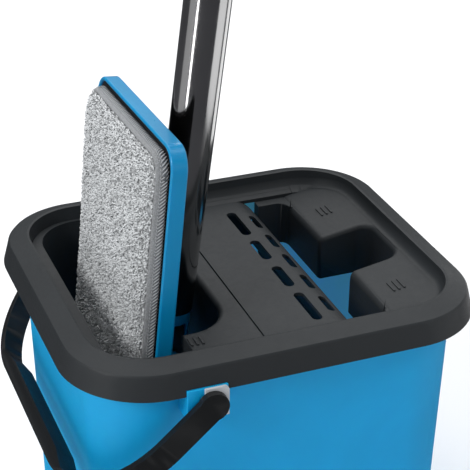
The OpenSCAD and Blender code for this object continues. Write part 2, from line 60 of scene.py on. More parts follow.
# ---- Finishes ----


class Half(Enum):
    """Which half of the pad's length a pile covers."""

    UPPER = 1
    LOWER = -1


class NodeSheet:
    """A material's node tree with short calls for the nodes that the finishes share."""

    def __init__(self, name: str) -> None:
        """Starts an empty material with a Principled shader.

        Args:
            name: The material's name.
        """
        self.material = bpy.data.materials.new(name)
        self.material.use_nodes = True
        self.tree = self.material.node_tree
        self.shader = self.tree.nodes["Principled BSDF"]

    def node(self, kind: str, **settings: object) -> bpy.types.Node:
        """Adds a node.

        Args:
            kind: The node's type name.
            **settings: Attributes to set on it.

        Returns:
            The new node.
        """
        made = self.tree.nodes.new(kind)
        for key, value in settings.items():
            setattr(made, key, value)
        return made

    def link(self, source: Socket, target: Socket) -> None:
        """Joins two sockets."""
        self.tree.links.new(source, target)

    def feed(self, source: Socket, name: str) -> None:
        """Joins a socket to one of the shader's inputs."""
        self.link(source, self.shader.inputs[name])

    def set(self, name: str, value: float | tuple[float, ...]) -> None:
        """Sets one of the shader's inputs."""
        self.shader.inputs[name].default_value = value

    def place(self, stretch: Triple = (1, 1, 1),
              turn: Triple = (0, 0, 0)) -> Socket:
        """Gives the object coordinates that a pattern reads.

        Args:
            stretch: Scale along each axis.
            turn: Rotation of the pattern, in radians.

        Returns:
            A vector socket.
        """
        where = self.node("ShaderNodeTexCoord")
        mapping = self.node("ShaderNodeMapping")
        mapping.inputs["Scale"].default_value = stretch
        mapping.inputs["Rotation"].default_value = turn
        self.link(where.outputs["Object"], mapping.inputs["Vector"])
        return mapping.outputs["Vector"]

    def noise(self, place: Socket, scale: float, detail: float = 3,
              roughness: float = 0.5, distortion: float = 0) -> Socket:
        """Adds a noise pattern.

        Args:
            place: Coordinates to read.
            scale: Repeats per metre.
            detail: Octaves.
            roughness: Strength of the finer octaves.
            distortion: Swirl.

        Returns:
            The pattern's value, about 0.3 to 0.7.
        """
        made = self.node("ShaderNodeTexNoise")
        made.inputs["Scale"].default_value = scale
        made.inputs["Detail"].default_value = detail
        made.inputs["Roughness"].default_value = roughness
        made.inputs["Distortion"].default_value = distortion
        self.link(place, made.inputs["Vector"])
        return made.outputs["Fac"]

    def span(self, value: Socket, low: float, high: float,
             from_low: float = 0.3, from_high: float = 0.7) -> Socket:
        """Maps a value to a range.

        Args:
            value: Socket to read.
            low: Output at from_low.
            high: Output at from_high.
            from_low: Lower end of the input.
            from_high: Upper end of the input.

        Returns:
            The mapped value.
        """
        made = self.node("ShaderNodeMapRange")
        made.inputs["From Min"].default_value = from_low
        made.inputs["From Max"].default_value = from_high
        made.inputs["To Min"].default_value = low
        made.inputs["To Max"].default_value = high
        self.link(value, made.inputs["Value"])
        return made.outputs["Result"]

    def blend(self, amount: Socket, first: tuple[float, ...],
              second: tuple[float, ...]) -> Socket:
        """Mixes two colours by a value.

        Args:
            amount: 0 gives the first colour and 1 the second.
            first: Linear colour.
            second: Linear colour.

        Returns:
            A colour socket.
        """
        made = self.node("ShaderNodeMix", data_type="RGBA")
        for socket in made.inputs:
            if socket.name == "A" and socket.type == "RGBA":
                socket.default_value = (*first, 1)
            if socket.name == "B" and socket.type == "RGBA":
                socket.default_value = (*second, 1)
        self.link(amount, made.inputs["Factor"])
        return [s for s in made.outputs if s.type == "RGBA"][0]

    def bump(self, heights: list[tuple[Socket, float]]) -> None:
        """Roughens the surface with one or more height patterns.

        Args:
            heights: Pairs of a pattern and its depth in metres.
        """
        last = None
        for height, depth in heights:
            made = self.node("ShaderNodeBump")
            made.inputs["Strength"].default_value = 1.0
            made.inputs["Distance"].default_value = depth
            self.link(height, made.inputs["Height"])
            if last is not None:
                self.link(last.outputs["Normal"], made.inputs["Normal"])
            last = made
        if last is not None:
            self.link(last.outputs["Normal"], self.shader.inputs["Normal"])


@dataclass(frozen=True)
class MouldedPlastic:
    """Injection-moulded plastic: fine grain, faint flow marks and handling scuffs.

    Attributes:
        name: Name of the finish.
        colour: Linear base colour.
        roughness: Middle roughness.
        grain: Depth of the mould grain, in metres.
        grain_scale: Grains per metre.
        variation: Share by which the colour drifts.
        coat: Weight of the glossy skin.
        scatter: Share of light that scatters below the skin.
        glow: Strength of the glow painted as emission on the inner side, in place of the daylight that the wall
            lets through.
    """

    name: str
    colour: Triple
    roughness: float = 0.45
    grain: float = 0.00004
    grain_scale: float = 1800
    variation: float = 0.06
    coat: float = 0.0
    scatter: float = 0.0
    glow: float = 0.0

    def make(self) -> bpy.types.Material:
        """Builds the material.

        Returns:
            The finished material.
        """
        sheet = NodeSheet(self.name)
        place = sheet.place()
        drift = sheet.noise(place, 14, 4, 0.6, 0.4)
        light = tuple(min(1.0, c * (1 + self.variation)) for c in self.colour)
        dark = tuple(c * (1 - self.variation) for c in self.colour)
        sheet.feed(sheet.blend(sheet.span(drift, 0, 1), dark, light), "Base Color")
        scuff = sheet.noise(sheet.place(stretch=(1, 1, 6), turn=(0.3, 0.5, 0.2)), 160, 5, 0.7, 1.2)
        sheet.feed(sheet.span(scuff, self.roughness - 0.05, self.roughness + 0.07), "Roughness")
        sheet.bump([(sheet.noise(place, self.grain_scale, 2), self.grain),
                    (sheet.noise(place, 60, 2), 0.00006)])
        sheet.set("Coat Weight", self.coat)
        sheet.set("Coat Roughness", 0.2)
        sheet.set("Subsurface Weight", self.scatter)
        sheet.set("Subsurface Radius", (0.3, 0.6, 1.0))
        sheet.set("Subsurface Scale", 0.006)
        sheet.set("Specular IOR Level", 0.26)
        # Painted glow: the inner faces get emission in place of the light that comes through the wall
        if self.glow:
            self.paint_inner_glow(sheet)
        return sheet.material

    def paint_inner_glow(self, sheet: NodeSheet) -> None:
        """Paints a glow, as emission, on the faces that look inward, in place of the light that a thin translucent
        wall lets through.

        Args:
            sheet: The material so far.
        """
        where = sheet.node("ShaderNodeTexCoord")
        facing = sheet.node("ShaderNodeNewGeometry")
        dot = sheet.node("ShaderNodeVectorMath", operation="DOT_PRODUCT")
        sheet.link(where.outputs["Object"], dot.inputs[0])
        sheet.link(facing.outputs["Normal"], dot.inputs[1])
        # Painted light: emission on the inward faces, a glow that stands in for light through the thin wall
        sheet.feed(sheet.span(dot.outputs["Value"], self.glow, 0, -0.04, -0.01), "Emission Strength")
        sheet.set("Emission Color", (0.14, 0.58, 0.66, 1))


@dataclass(frozen=True)
class PolishedMetal:
    """Bright metal: drawn along its length, with faint smears.

    Attributes:
        name: Name of the finish.
        colour: Linear reflectance.
        roughness: Middle roughness.
        lines: Depth of the drawing lines, in metres.
    """

    name: str
    colour: Triple
    roughness: float = 0.14
    lines: float = 0.000004

    def make(self) -> bpy.types.Material:
        """Builds the material.

        Returns:
            The finished material.
        """
        sheet = NodeSheet(self.name)
        place = sheet.place()
        smear = sheet.noise(place, 22, 4, 0.6, 0.8)
        light = tuple(min(1.0, c * 1.05) for c in self.colour)
        dark = tuple(c * 0.93 for c in self.colour)
        sheet.feed(sheet.blend(sheet.span(smear, 0, 1), dark, light), "Base Color")
        sheet.feed(sheet.span(smear, self.roughness - 0.03, self.roughness + 0.05), "Roughness")
        drawn = sheet.noise(sheet.place(stretch=(1, 1, 0.01)), 1500, 2)
        sheet.bump([(drawn, self.lines)])
        sheet.set("Metallic", 1.0)
        return sheet.material


@dataclass(frozen=True)
class Cloth:
    """Textile seen close to: fibre fuzz, speckle and sheen.

    Attributes:
        name: Name of the finish.
        pale: Linear colour of the pale fibres.
        deep: Linear colour of the dark fibres.
        speckle: Speckles per metre.
        fuzz: Depth of the fuzz, in metres.
        sheen: Weight of the soft edge glow.
        shade_attribute: Name of the mesh's shade attribute, or nothing for a noise speckle.
    """

    name: str
    pale: Triple
    deep: Triple
    speckle: float = 900
    fuzz: float = 0.0003
    sheen: float = 0.3
    shade_attribute: str = ""

    def make(self) -> bpy.types.Material:
        """Builds the material.

        Returns:
            The finished material.
        """
        sheet = NodeSheet(self.name)
        place = sheet.place()
        if self.shade_attribute:
            shade = sheet.node("ShaderNodeAttribute", attribute_name=self.shade_attribute)
            amount = shade.outputs["Fac"]
        else:
            amount = sheet.span(sheet.noise(place, self.speckle, 3, 0.7), 0, 1, 0.38, 0.62)
        sheet.feed(sheet.blend(amount, self.deep, self.pale), "Base Color")
        sheet.bump([(sheet.noise(place, self.speckle * 1.7, 4, 0.7), self.fuzz)])
        sheet.set("Roughness", 0.92)
        sheet.set("Specular IOR Level", 0.2)
        sheet.set("Sheen Weight", self.sheen)
        sheet.set("Sheen Roughness", 0.5)
        return sheet.material


@dataclass(frozen=True)
class SoftRubber:
    """Matt rubber with a powdery bloom.

    Attributes:
        name: Name of the finish.
        colour: Linear base colour.
    """

    name: str
    colour: Triple

    def make(self) -> bpy.types.Material:
        """Builds the material.

        Returns:
            The finished material.
        """
        sheet = NodeSheet(self.name)
        place = sheet.place()
        bloom = sheet.noise(place, 40, 5, 0.7, 0.5)
        pale = tuple(c * 1.35 + 0.01 for c in self.colour)
        sheet.feed(sheet.blend(sheet.span(bloom, 0, 0.6), self.colour, pale), "Base Color")
        sheet.feed(sheet.span(bloom, 0.68, 0.85), "Roughness")
        sheet.bump([(sheet.noise(place, 2400, 2), 0.00006)])
        sheet.set("Specular IOR Level", 0.35)
        return sheet.material


FINISHES = {
    # bucket_blue's last value, 0.17, is a glow painted as emission on the shell's inner faces
    "blue_bucket_plastic": MouldedPlastic("bucket_blue", (0.001, 0.325, 0.650), 0.45, 0.00001, 900,
                                          0.05, 0.0, 0.4, 0.17),
    "dark_plastic": MouldedPlastic("charcoal_plastic", (0.0195, 0.0225, 0.0250), 0.52, 0.00005,
                                   2000, 0.06),
    "lip_rubber": SoftRubber("lip_rubber", (0.03, 0.032, 0.035)),
    "light_plastic": MouldedPlastic("pale_grey_plastic", (0.50, 0.52, 0.54), 0.45),
    "blue_plate_plastic": MouldedPlastic("plate_blue", (0.001, 0.225, 0.455), 0.32, 0.00001, 900,
                                         0.05, 0.2, 0.3),
    "hook_fabric": Cloth("hook_mat_black", (0.014, 0.014, 0.016), (0.004, 0.004, 0.005), 1400,
                         0.0005, 0.03),
    "microfibre": Cloth("microfibre_grey", (0.87, 0.89, 0.90), (0.29, 0.30, 0.305), 1300, 0.0003,
                        0.3, "yarn_shade"),
    "pin_steel": PolishedMetal("pin_steel", (0.50, 0.50, 0.51), 0.3),
    "swivel_plastic": MouldedPlastic("black_plastic", (0.020, 0.021, 0.023), 0.45),
    "polished_steel": PolishedMetal("polished_tube", (0.50, 0.50, 0.50), 0.12),
    "grip_rubber": SoftRubber("grip_rubber", (0.025, 0.027, 0.03)),
}
BINDING = Cloth("binding_grey", (0.30, 0.31, 0.32), (0.16, 0.165, 0.17), 1700, 0.0002, 0.2)
STITCH = Cloth("stitch_grey", (0.52, 0.53, 0.54), (0.30, 0.31, 0.32), 2500, 0.0001, 0.25)
HANDLE = MouldedPlastic("handle_charcoal", (0.0085, 0.0095, 0.0105), 0.42, 0.00004, 2000, 0.06)
PAD_CORE = Cloth("pad_core_grey", (0.55, 0.56, 0.57), (0.22, 0.225, 0.23), 900, 0.0006, 0.2)


Finish = MouldedPlastic | PolishedMetal | Cloth | SoftRubber


@cache
def material_of(finish: Finish) -> bpy.types.Material:
    """Makes a finish's material once, and gives the same one after that."""
    return finish.make()


SLOT_OF = {s["node"]: s["material_slot"] for s in frame["record"]["subparts"]}
BODY_OF = {node: body for body, nodes in frame["record"]["behaviour"]["bodies"].items()
           for node in nodes}


# ---- Mesh helpers ----


def new_object(name: str, verts: list | np.ndarray, faces: list) -> Piece:
    """Makes a mesh object from points and faces.

    Args:
        name: Object name.
        verts: Points in metres.
        faces: Index tuples.

    Returns:
        The linked object.
    """
    mesh = bpy.data.meshes.new(name)
    mesh.from_pydata([tuple(v) for v in verts], [], faces)
    mesh.update()
    made = bpy.data.objects.new(name, mesh)
    bpy.context.scene.collection.objects.link(made)
    return made


def settle(piece: Piece) -> None:
    """Applies every modifier of a piece to its mesh.

    Args:
        piece: The piece, whose mesh is replaced.
    """
    bpy.context.view_layer.update()
    graph = bpy.context.evaluated_depsgraph_get()
    mesh = bpy.data.meshes.new_from_object(piece.evaluated_get(graph))
    old = piece.data
    piece.modifiers.clear()
    piece.data = mesh
    bpy.data.meshes.remove(old)


def shade_smooth(piece: Piece) -> None:
    """Gives a piece smooth shading all over."""
    piece.data.polygons.foreach_set("use_smooth", [True] * len(piece.data.polygons))


def face_outward(piece: Piece) -> None:
    """Turns every face of a closed piece outward.

    Args:
        piece: The piece.
    """
    work = bmesh.new()
    work.from_mesh(piece.data)
    bmesh.ops.recalc_face_normals(work, faces=work.faces)
    work.to_mesh(piece.data)
    work.free()


def dress(piece: Piece, material: bpy.types.Material) -> None:
    """Gives a piece one material."""
    piece.data.materials.clear()
    piece.data.materials.append(material)


def dress_solids(*nodes: str) -> None:
    """Gives CAD pieces that stay as they are the finishes of their slots."""
    for node in nodes:
        dress(frame["nodes"][node], material_of(FINISHES[SLOT_OF[node]]))


def refine(piece: Piece) -> None:
    """Subdivides a piece once and shades it smooth."""
    finer = piece.modifiers.new("finer", "SUBSURF")
    finer.levels = finer.render_levels = 1
    settle(piece)
    shade_smooth(piece)


def even_normals(piece: Piece) -> None:
    """Leans a piece's normals towards its large faces."""
    lean = piece.modifiers.new("normals", "WEIGHTED_NORMAL")
    lean.keep_sharp = True
    lean.weight = 80
    settle(piece)


def tube_faces(base: int, rings: int, sides: int) -> list[tuple[int, ...]]:
    """Gives the faces of a closed tube.

    Args:
        base: Index of its first point.
        rings: How many rings of points it has.
        sides: Points in each ring.

    Returns:
        Its walls and both its ends.
    """
    faces = []
    for r in range(rings - 1):
        for s in range(sides):
            n = (s + 1) % sides
            faces.append((base + r * sides + s, base + r * sides + n,
                          base + (r + 1) * sides + n, base + (r + 1) * sides + s))
    last = base + (rings - 1) * sides
    faces.append(tuple(base + s for s in reversed(range(sides))))
    faces.append(tuple(last + s for s in range(sides)))
    return faces


def attach(piece: Piece, body: str, slot: str, *nodes: str) -> None:
    """Fixes a finished piece to its body.

    Args:
        piece: The piece.
        body: CAD body that it rides on.
        slot: Material slot that it takes its finish from; not used.
        *nodes: CAD nodes that it stands for.
    """
    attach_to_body(piece, body)
    if nodes:
        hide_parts(*nodes)
    log.info("%s rides on %s with %d faces", piece.name, body, len(piece.data.polygons))


EdgeRule = Callable[[Vector, Vector], float | None]


@dataclass
class Softened:
    """A moulded piece: a CAD solid with its edges rounded as the mould leaves them.

    Attributes:
        node: CAD node that it takes its shape from.
        name: Name of the finished piece.
        radius: Radius of the rounded edges, in metres.
        segments: Steps across each rounded edge.
        rule: Gives an edge's own radius from its two ends, or None for the usual one.
        sharp_angle: Edges that turn more than this are rounded, in degrees.
    """

    node: str
    name: str
    radius: float = 0.0008
    segments: int = 3
    rule: EdgeRule | None = None
    sharp_angle: float = 28

    def weigh(self, work: bmesh.types.BMesh) -> float:
        """Weighs each sharp edge by the radius that it gets, and keeps it crisp if that is 0.

        Args:
            work: The piece's mesh.

        Returns:
            The largest radius used, in metres.
        """
        layer = work.edges.layers.float.new("bevel_weight_edge")
        radii = {}
        for edge in work.edges:
            if len(edge.link_faces) == 2 and edge.calc_face_angle(0) > math.radians(self.sharp_angle):
                own = self.rule(edge.verts[0].co, edge.verts[1].co) if self.rule else None
                radii[edge] = self.radius if own is None else own
                edge.smooth = radii[edge] > 0
        largest = max(radii.values(), default=self.radius)
        for edge, radius in radii.items():
            edge[layer] = radius / largest
        return largest

    def build(self) -> Piece:
        """Builds the piece, dresses it and hides the CAD node behind it.

        Returns:
            The finished piece.
        """
        mesh = frame["nodes"][self.node].data.copy()
        mesh.name = self.name
        if mesh.has_custom_normals:
            mesh.attributes.remove(mesh.attributes["custom_normal"])
        work = bmesh.new()
        work.from_mesh(mesh)
        bmesh.ops.remove_doubles(work, verts=work.verts, dist=2e-6)
        bmesh.ops.dissolve_limit(work, angle_limit=math.radians(0.6), verts=work.verts,
                                 edges=work.edges)
        largest = self.weigh(work)
        work.to_mesh(mesh)
        work.free()
        piece = bpy.data.objects.new(self.name, mesh)
        bpy.context.scene.collection.objects.link(piece)
        edge = piece.modifiers.new("edge", "BEVEL")
        edge.width = largest
        edge.segments = self.segments
        edge.limit_method = "WEIGHT"
        edge.use_clamp_overlap = self.rule is None
        settle(piece)
        shade_smooth(piece)
        even_normals(piece)
        slot = SLOT_OF[self.node]
        dress(piece, material_of(FINISHES[slot]))
        attach(piece, BODY_OF[self.node], slot, self.node)
        return piece


# ---- Frames of the mop's moving pieces ----


def joint(name: str) -> dict:
    """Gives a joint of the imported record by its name."""
    return next(j for j in frame["joints"] if j["name"] == name)


@dataclass(frozen=True)
class MopFrame:
    """Where the mop's plate stands: X away from its back, Y across it, Z up its length.

    Attributes:
        lean: Lean across the slot, in degrees.
        cant: Lean in the plate's own plane, in degrees.
        axis_drop: Distance from the frame's origin down to the lower swivel axis, in metres.
    """

    lean: float = 6.14
    cant: float = 1.96
    axis_drop: float = 0.010

    def matrix(self) -> Matrix:
        """Gives the placing of the plate's frame.

        Returns:
            The matrix from the plate's frame to the world.
        """
        turn = Matrix.Rotation(math.radians(self.lean), 3, "Y") @ Matrix.Rotation(
            math.radians(-self.cant), 3, "X")
        origin = Vector(joint("pole_tilt")["pos_m"]) + turn @ Vector((0, 0, self.axis_drop))
        return Matrix.Translation(origin) @ turn.to_4x4()


# ---- Sub-assemblies ----


@dataclass
class Bucket:
    """The bucket: blue shell, charcoal rim, decks and wringer panel.

    Attributes:
        deck_z: Height of the deck.
        seam_x: Place of the seam between the two decks.
        deck_half: Half of the deck's depth.
        recess_half: Half of the width of the recess between the dry blocks.
        lip_radius: Radius of the rounded edges round the wash deck's openings.
        recess_radius: Radius of the rounded edges round the recess between the dry blocks.
        slot_end: Half of the dry slot's length, beyond which the edges stay crisp.
        face_end: Place along X up to which the dry blocks' squeezing faces round off.
        recess_from: Place along X from which the recess's end counts as such.
        deck_mark: Middle of the raised bars on the wash deck.
        block_mark: Middle of the raised bars on each dry block.
    """

    deck_z: float = 0.206
    seam_x: float = -0.0105
    deck_half: float = 0.0855
    recess_half: float = 0.022
    lip_radius: float = 0.0034
    recess_radius: float = 0.0032
    slot_end: float = 0.0775
    face_end: float = 0.077
    recess_from: float = 0.085
    deck_mark: tuple[float, float] = (-0.049, -0.069)
    block_mark: tuple[float, float] = (0.087, 0.053)

    @staticmethod
    def on_mark(ends: tuple[Vector, Vector], middle: tuple[float, float], across: float,
                along: float) -> bool:
        """Tells whether both ends of an edge lie in a group of raised bars of these half sizes."""
        return all(abs(v.x - middle[0]) < across and abs(v.y - middle[1]) < along for v in ends)

    def deck_edge(self, a: Vector, b: Vector) -> float | None:
        """Gives the radius of a wash deck edge: wide round the pole's recess.

        Args:
            a: One end of the edge.
            b: Its other end.

        Returns:
            The radius in metres, or None for the usual one.
        """
        raised = any(v.z > self.deck_z + 0.0001 for v in (a, b))
        if raised or self.on_mark((a, b), self.deck_mark, 0.0055, 0.0055):
            return 0.0
        top = all(abs(v.z - self.deck_z) < 0.0002 for v in (a, b))
        inside = all(v.x < self.seam_x - 0.0005 and abs(v.y) < self.deck_half for v in (a, b))
        return self.lip_radius if top and inside else None

    def block_edge(self, a: Vector, b: Vector) -> float | None:
        """Gives the radius of a dry block edge: wide round the recess between the blocks.

        Args:
            a: One end of the edge.
            b: Its other end.

        Returns:
            The radius in metres, or None for the usual one.
        """
        folded = tuple(Vector((v.x, abs(v.y), v.z)) for v in (a, b))
        if self.on_mark(folded, self.block_mark, 0.007, 0.008):
            return 0.0
        if any(abs(v.y) > self.slot_end for v in (a, b)):
            return 0.0
        side = all(abs(abs(v.y) - self.recess_half) < 0.0006 for v in (a, b))
        end = all(v.x > self.recess_from and abs(v.y) < self.recess_half and v.z > 0.2 for v in (a, b))
        top = all(v.z > 0.1745 for v in (a, b)) or abs(a.z - b.z) > 0.001
        if (side and top) or end:
            return self.recess_radius
        return None if all(v.x < self.face_end for v in (a, b)) else 0.0

    def build(self) -> None:
        """Builds every piece of the bucket."""
        Softened("bucket_shell", "bucket_shell_moulding", radius=0.0012).build()
        Softened("rim_frame", "rim_moulding", radius=0.0011).build()
        Softened("wash_deck", "wash_deck_moulding", radius=0.0007, segments=4, rule=self.deck_edge).build()
        Softened("wringer_panel", "wringer_panel_moulding", radius=0.0008).build()
        Softened("dry_blocks", "dry_blocks_moulding", radius=0.0007, segments=4, rule=self.block_edge).build()
        Softened("handle_washers", "handle_washer_mouldings", radius=0.0003, segments=2).build()
        dress_solids("squeeze_lip", "handle_pins")


@dataclass
class WallFillet:
    """Concave crease where the rim's inner wall runs into the deck's ledge and the dry blocks.

    Attributes:
        half_width: Half of the rim's width at its crease, in metres.
        half_depth: Half of the rim's depth there.
        corner: Plan radius of the rim's corners.
        inset: Distance from the rim's crease to the foot of the wall that it starts on.
        top: Height at which it leaves the wall.
        reach: How far it runs out from the wall.
        fade_from: Place along X at which it starts.
        fade_over: Distance over which it grows to its full reach.
        steps: Steps across its arc.
        ledge: Height of the deck's ledge at its edge, that edge's inset, and its fall over a run.
        block: Height of the dry blocks at a place along X, that place, and their rise over a run.
        block_from: Place along X from which the dry blocks lie below it.
    """

    half_width: float = 0.125
    half_depth: float = 0.10875
    corner: float = 0.049
    inset: float = 0.0133
    top: float = 0.2179
    reach: float = 0.0055
    fade_from: float = -0.045
    fade_over: float = 0.020
    steps: int = 8
    ledge: tuple[float, ...] = (0.2096, 0.0144, 0.0036, 0.0076)
    block: tuple[float, ...] = (0.2046, 0.075, 0.0086, 0.050)
    block_from: float = 0.078

    def level(self, inset: float, x: float) -> float:
        """Gives the height of the ledge or the dry block below a point.

        Args:
            inset: The point's distance inside the rim's crease.
            x: Its place along X.

        Returns:
            The height in metres.
        """
        height, start, fall, run = self.ledge
        ledge = height - (inset - start) * fall / run
        height, start, rise, run = self.block
        block = height + rise * (x - start) / run
        return max(ledge, block) if x > self.block_from else ledge

    def path(self) -> list[tuple[float, float, float, float]]:
        """Gives points along the wall, from the back left round the dry side to the front left.

        Returns:
            Place across, place along the depth, and the direction inward at each point.
        """
        cx, cy = self.half_width - self.corner, self.half_depth - self.corner
        radius = self.corner - self.inset
        back = [(self.fade_from + (cx - self.fade_from) * i / 40, cy + radius, 0.0, -1.0)
                for i in range(40)]
        turns = [math.radians(90 * (1 - i / 24)) for i in range(25)]
        arc = [(cx + radius * math.cos(a), cy + radius * math.sin(a), -math.cos(a), -math.sin(a))
               for a in turns]
        half = back + arc
        return half + [(x, -y, nx, -ny) for x, y, nx, ny in reversed(half)]

    def build(self) -> None:
        """Builds the crease as one closed strip."""
        verts, faces = [], []
        path = self.path()
        for x, y, nx, ny in path:
            reach = self.reach * min(1, max(0.06, (x - self.fade_from) / self.fade_over))
            foot = self.level(self.inset + reach, x + nx * reach) + 0.0001
            for k in range(self.steps + 1):
                angle = math.pi / 2 * k / self.steps
                out = reach * (1 - math.cos(angle))
                verts.append((x + nx * out, y + ny * out, self.top - (self.top - foot) * math.sin(angle)))
            verts.append((x, y, foot - 0.0004))
        ring = self.steps + 2
        for i in range(len(path) - 1):
            for k in range(ring):
                n = (k + 1) % ring
                faces.append((i * ring + k, i * ring + n, (i + 1) * ring + n, (i + 1) * ring + k))
        faces.append(tuple(range(ring)))
        faces.append(tuple((len(path) - 1) * ring + k for k in reversed(range(ring))))
        piece = new_object("rim_wall_fillet", verts, faces)
        face_outward(piece)
        shade_smooth(piece)
        piece.data.set_sharp_from_angle(angle=math.radians(50))
        even_normals(piece)
        dress(piece, material_of(FINISHES["dark_plastic"]))
        attach(piece, "bucket", "dark_plastic")


@dataclass
class CarryHandle:
    """The bail: thin arms and a thicker grip along the cross bar."""

    def build(self) -> None:
        """Builds the handle."""
        dress(Softened("carry_handle", "carry_handle_moulding", radius=0.0013, segments=4).build(),
              material_of(HANDLE))


@dataclass
class Pad:
    """Microfibre pad: a soft core, a sewn binding with its stitches and a pile of chenille loops.

    Attributes:
        half_width: Half of the pad's width, in metres.
        half_length: Half of its length.
        back: Place of its back face in the plate's frame.
        front: Place of its front face before it swells.
        corner: Plan radius of its corners.
        tape: Distance that the binding stops behind the front face.
        swell: How far the cloth may move in the simulation.
        loops: How many chenille loops each half of the pile has.
        loop_length: Shortest and longest loop.
        loop_thick: Thinnest and thickest yarn, as a radius.
        loop_height: Lowest and highest arch.
        loop_sway: How far an arch leans to either side.
        stitch_pitch: Distance between two stitches.
        stitch_lean: How far a stitch slants along the edge.
        stitch_radius: Radius of the overlock thread.
        row_radius: Radius of the thread in the row along the stitches' foot.
        seed: Seed of the random draws.
    """

    half_width: float = 0.0628
    half_length: float = 0.1506
    back: float = -0.0321
    front: float = -0.0418
    corner: float = 0.011
    tape: float = 0.0024
    swell: float = 0.0022
    loops: int = 13900
    loop_length: tuple[float, float] = (0.0014, 0.0026)
    loop_thick: tuple[float, float] = (0.00038, 0.00060)
    loop_height: tuple[float, float] = (0.0006, 0.0016)
    loop_sway: float = 0.0006
    stitch_pitch: float = 0.0021
    stitch_lean: float = 0.0042
    stitch_radius: float = 0.0004
    row_radius: float = 0.00028
    seed: int = 11
    frame_matrix: Matrix = field(default_factory=lambda: MopFrame().matrix())

    def outline(self, inset: float, count: int = 12) -> list[tuple[float, float]]:
        """Gives the pad's plan as points across and along it.

        Args:
            inset: Distance inside the edge, in metres.
            count: Steps in each rounded corner.

        Returns:
            Points going round the pad.
        """
        radius = max(self.corner - inset, 0.002)
        w = self.half_width - inset - radius
        l = self.half_length - inset - radius
        points = []
        for quarter, (sy, sz) in enumerate(((1, 1), (-1, 1), (-1, -1), (1, -1))):
            for step in range(count + 1):
                angle = math.radians(90 * quarter + 90 * step / count)
                points.append((sy * w + radius * math.cos(angle), sz * l + radius * math.sin(angle)))
        return points

    def core(self) -> Piece:
        """Builds the soft core and swells it by cloth simulation.

        Returns:
            The core in the plate's frame.
        """
        depth = [(self.back, 0.0008), (self.front + 0.003, 0.0008), (self.front + 0.001, 0.002),
                 (self.front, 0.006)]
        rings = [[(x, y, z) for y, z in self.outline(inset)] for x, inset in depth]
        verts = [p for ring in rings for p in ring]
        n = len(rings[0])
        faces = [tuple(range(n))[::-1], tuple(range(3 * n, 4 * n))]
        for k in range(3):
            for i in range(n):
                j = (i + 1) % n
                faces.append((k * n + i, k * n + j, (k + 1) * n + j, (k + 1) * n + i))
        piece = new_object("pad_core", verts, faces)
        face_outward(piece)
        remesh = piece.modifiers.new("remesh", "REMESH")
        remesh.mode = "VOXEL"
        remesh.voxel_size = 0.004
        settle(piece)
        self.simulate(piece)
        refine(piece)
        return piece

    def simulate(self, piece: Piece) -> None:
        """Swells the core under pressure, and limits how far each point moves.

        Args:
            piece: The core, whose mesh is changed.
        """
        start = np.array([v.co for v in piece.data.vertices])
        cloth = piece.modifiers.new("cloth", "CLOTH")
        cloth.settings.use_pressure = True
        cloth.settings.uniform_pressure_force = 4
        cloth.settings.effector_weights.gravity = 0
        cloth.settings.tension_stiffness = 20
        cloth.settings.bending_stiffness = 3
        scene = bpy.context.scene
        for step in range(1, 21):
            scene.frame_set(step)
        settle(piece)
        scene.frame_set(1)
        moved = np.array([v.co for v in piece.data.vertices])
        shift = moved - start
        length = np.linalg.norm(shift, axis=1, keepdims=True)
        shift *= np.minimum(1, self.swell / np.maximum(length, 1e-9))
        shift[:, 1:] *= 0.25
        end = start + shift
        end[:, 0] = np.minimum(end[:, 0], self.back)
        piece.data.vertices.foreach_set("co", end.ravel())
        piece.data.update()

    def pile(self, core: Piece, name: str, half: Half) -> Piece:
        """Covers half of the core's front with small bent loops of chenille.

        Args:
            core: The core, in the plate's frame.
            name: Name of the piece.
            half: Which half it covers.

        Returns:
            One mesh that holds every loop, with a shade for each.
        """
        draw = random.Random(self.seed + half.value)
        mesh = core.data
        mesh.calc_loop_triangles()
        co = np.array([v.co for v in mesh.vertices])
        tris = np.array([t.vertices[:] for t in mesh.loop_triangles])
        a, b, c = co[tris[:, 0]], co[tris[:, 1]], co[tris[:, 2]]
        cross = np.cross(b - a, c - a)
        area = np.linalg.norm(cross, axis=1) / 2
        normal = cross / np.maximum(2 * area[:, None], 1e-12)
        middle = (a + b + c) / 3
        wanted = ((normal[:, 0] < 0.2) & (middle[:, 2] * half.value > 0)
                  & (middle[:, 0] < self.front + self.tape))
        area = np.where(wanted, area, 0)
        steps = np.cumsum(area) / area.sum()
        sides, rings = 3, 3
        verts: list[Triple] = []
        faces: list[tuple[int, ...]] = []
        shades: list[float] = []
        for _ in range(self.loops):
            k = int(np.searchsorted(steps, draw.random()))
            u, v = draw.random(), draw.random()
            if u + v > 1:
                u, v = 1 - u, 1 - v
            root = Vector(a[k] + u * (b[k] - a[k]) + v * (c[k] - a[k]))
            out = Vector(normal[k])
            way = out.orthogonal().normalized()
            way.rotate(Matrix.Rotation(draw.uniform(0, 2 * math.pi), 3, out))
            across = out.cross(way).normalized()
            length = draw.uniform(*self.loop_length)
            thick = draw.uniform(*self.loop_thick)
            height = draw.uniform(*self.loop_height)
            sway = draw.uniform(-self.loop_sway, self.loop_sway)
            shade = self.shade(draw)
            base = len(verts)
            for r in range(rings):
                t = r / (rings - 1)
                arch = 4 * t * (1 - t)
                spot = root + way * (length * (t - 0.5)) + out * (height * arch) + across * (sway * arch)
                size = thick * (0.55 + 0.45 * arch)
                for s in range(sides):
                    turn = 2 * math.pi * s / sides + 0.6
                    verts.append(tuple(spot + across * (size * math.cos(turn))
                                       + out * (size * math.sin(turn))))
                    shades.append(shade * draw.uniform(0.9, 1.1))
            faces += tube_faces(base, rings, sides)
        piece = new_object(name, verts, faces)
        attribute = piece.data.attributes.new("yarn_shade", "FLOAT", "POINT")
        attribute.data.foreach_set("value", np.clip(shades, 0, 1).astype(np.float32))
        shade_smooth(piece)
        return piece

